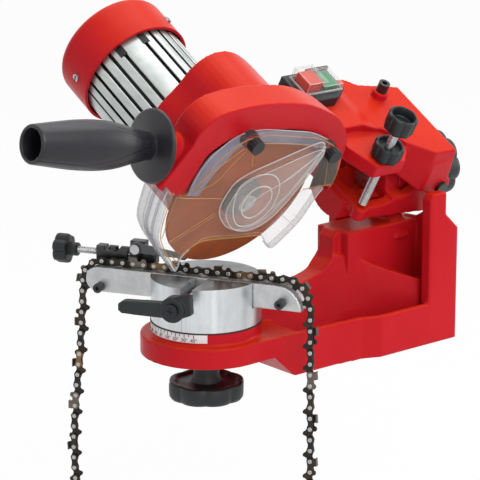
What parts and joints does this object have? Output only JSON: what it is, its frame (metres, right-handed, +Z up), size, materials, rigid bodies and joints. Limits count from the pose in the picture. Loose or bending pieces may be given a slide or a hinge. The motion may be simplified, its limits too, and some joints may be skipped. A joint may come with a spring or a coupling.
{
  "type": "electric chainsaw sharpener",
  "caption": "Bench grinder for saw chain: a cast base with an angle turntable and chain clamp, and a tilting motor head that swings a guarded wheel down onto the chain.",
  "frame": {"origin": "centre of the bench bolt pattern, on the bench plane", "axes": "+X from the turntable towards the rear wall, +Y to the motor side, +Z up"},
  "size_m": [0.5053, 0.2659, 0.5062],
  "materials": {
    "red_paint": "gloss red paint over an aluminium casting",
    "silver_cast": "machined and lightly tumbled",
    "barrel_metal": "extruded, satin",
    "black_plastic": "fine moulded texture",
    "black_steel": "black oxide",
    "bright_steel": "zinc plated",
    "chain_steel": "oiled, dark",
    "cutter_steel": "plated, worn",
    "abrasive": "fine bonded grit",
    "clear_plastic": "clear moulded",
    "scale_white": "printed label",
    "button_red": "moulded",
    "button_green": "moulded",
    "copper": "enamelled wire",
    "core_steel": "laminated",
    "spring_steel": "drawn wire",
    "grey_plastic": "moulded"
  },
  "bodies": {
    "base": {"base_casting": "red_paint", "angle_scale": "scale_white"},
    "turntable": {"turntable": "silver_cast", "table_spindle": "bright_steel", "rail_fixed": "silver_cast", "rail_screws": "black_steel", "stop_holder": "black_steel", "drive_links": "chain_steel", "tie_straps": "chain_steel", "cutters": "cutter_steel", "chain_rivets": "bright_steel"},
    "table_knob": {"table_knob": "black_plastic"},
    "jaw": {"rail_moving": "silver_cast", "clamp_shaft": "bright_steel", "lever_screw": "bright_steel"},
    "clamp_lever": {"clamp_lever": "black_plastic"},
    "stop_slide": {"stop_rod": "bright_steel", "stop_carrier": "black_steel", "pawl_bolt": "bright_steel"},
    "stop_knob": {"stop_knob": "black_plastic"},
    "pawl": {"pawl": "bright_steel"},
    "saddle": {"saddle": "red_paint", "pivot_pin": "black_steel", "return_spring": "spring_steel", "tilt_bolt": "bright_steel"},
    "tilt_knob": {"tilt_knob": "black_plastic", "tilt_washer": "bright_steel"},
    "head": {"head_arm": "red_paint", "wheel_guard": "red_paint", "clear_cover": "clear_plastic", "lower_window": "clear_plastic", "cover_studs": "bright_steel", "thumb_nuts": "black_plastic", "motor_barrel": "barrel_metal", "motor_cap": "red_paint", "cap_screws": "bright_steel", "stator_core": "core_steel", "stator_windings": "copper", "rear_shield": "silver_cast", "shaft_bearings": "bright_steel", "capacitor": "grey_plastic", "terminal_block": "grey_plastic", "handle_grip": "black_plastic", "handle_stud": "bright_steel", "switch_housing": "black_plastic", "splash_cover": "clear_plastic", "contact_block": "grey_plastic", "arm_cap_screw": "black_steel"},
    "rotor": {"motor_shaft": "bright_steel", "rotor_core": "core_steel", "cooling_fan": "black_plastic", "wheel_flanges": "bright_steel", "arbor_nut": "bright_steel", "grinding_wheel": "abrasive"},
    "depth_slide": {"depth_screw": "bright_steel"},
    "depth_knob": {"depth_knob": "black_plastic"},
    "lock_knob": {"lock_knob": "black_plastic"},
    "start_button": {"start_button": "button_green"},
    "stop_button": {"stop_button": "button_red"}
  },
  "joints": [
    {"name": "turntable_turn", "type": "hinge", "parent": "base", "child": "turntable", "pos_m": [-0.125, 0, 0.05], "axis": [0, 0, 1], "range_deg": [-65, 5]},
    {"name": "table_knob_turn", "type": "hinge", "parent": "turntable", "child": "table_knob", "pos_m": [-0.125, 0, 0], "axis": [0, 0, 1], "continuous": true},
    {"name": "jaw_open", "type": "slide", "parent": "turntable", "child": "jaw", "axis": [0.866, 0.5, 0], "range_m": [-0.0012, 0]},
    {"name": "clamp_lever_turn", "type": "hinge", "parent": "jaw", "child": "clamp_lever", "pos_m": [-0.19082, -0.038, 0.079], "axis": [0.866, 0.5, 0], "range_deg": [-80, 0]},
    {"name": "stop_slide_move", "type": "slide", "parent": "turntable", "child": "stop_slide", "axis": [0.5, -0.866, 0], "range_m": [-0.0012, 0.004]},
    {"name": "stop_knob_turn", "type": "hinge", "parent": "stop_slide", "child": "stop_knob", "pos_m": [-0.18368, 0.12663, 0.096], "axis": [0.5, -0.866, 0], "range_deg": [-440, 1450]},
    {"name": "pawl_lift", "type": "hinge", "parent": "stop_slide", "child": "pawl", "pos_m": [-0.15417, 0.06052, 0.104], "axis": [0.866, 0.5, 0], "range_deg": [-25, 0]},
    {"name": "head_tilt", "type": "hinge", "parent": "base", "child": "saddle", "pos_m": [0.075, 0, 0.146], "axis": [1, 0, 0], "range_deg": [-30, 5]},
    {"name": "tilt_knob_turn", "type": "hinge", "parent": "saddle", "child": "tilt_knob", "pos_m": [0.143, 0, 0.146], "axis": [1, 0, 0], "continuous": true},
    {"name": "head_swing", "type": "hinge", "parent": "saddle", "child": "head", "pos_m": [0.108, -0.009, 0.16159], "axis": [0, 0.866, 0.5], "range_deg": [-1.4, 20], "stiffness_Nm_per_rad": 30, "springref_deg": 19.48},
    {"name": "wheel_spin", "type": "hinge", "parent": "head", "child": "rotor", "pos_m": [-0.12, -0.0186, 0.17822], "axis": [0, 0.866, 0.5], "continuous": true},
    {"name": "depth_slide_move", "type": "slide", "parent": "head", "child": "depth_slide", "axis": [0, -0.5, 0.866], "range_m": [-0.0015, 0.006]},
    {"name": "depth_knob_turn", "type": "hinge", "parent": "depth_slide", "child": "depth_knob", "pos_m": [0.029, -0.07845, 0.21387], "axis": [0, -0.5, 0.866], "range_deg": [-440, 1740]},
    {"name": "lock_knob_turn", "type": "hinge", "parent": "head", "child": "lock_knob", "pos_m": [0.029, -0.06245, 0.18616], "axis": [0, -0.5, 0.866], "continuous": true},
    {"name": "start_press", "type": "slide", "parent": "head", "child": "start_button", "axis": [0, -0.5, 0.866], "range_m": [-0.0025, 0], "stiffness_N_per_m": 600, "springref_m": 0.002},
    {"name": "stop_press", "type": "slide", "parent": "head", "child": "stop_button", "axis": [0, -0.5, 0.866], "range_m": [-0.0025, 0], "stiffness_N_per_m": 600, "springref_m": 0.002}
  ],
  "couplings": [
    {"joint": "clamp_lever_turn", "follows": "jaw_open", "rad_per_m": 1160},
    {"joint": "stop_knob_turn", "follows": "stop_slide_move", "rad_per_m": 6283.2},
    {"joint": "depth_knob_turn", "follows": "depth_slide_move", "rad_per_m": 5026.5}
  ]
}
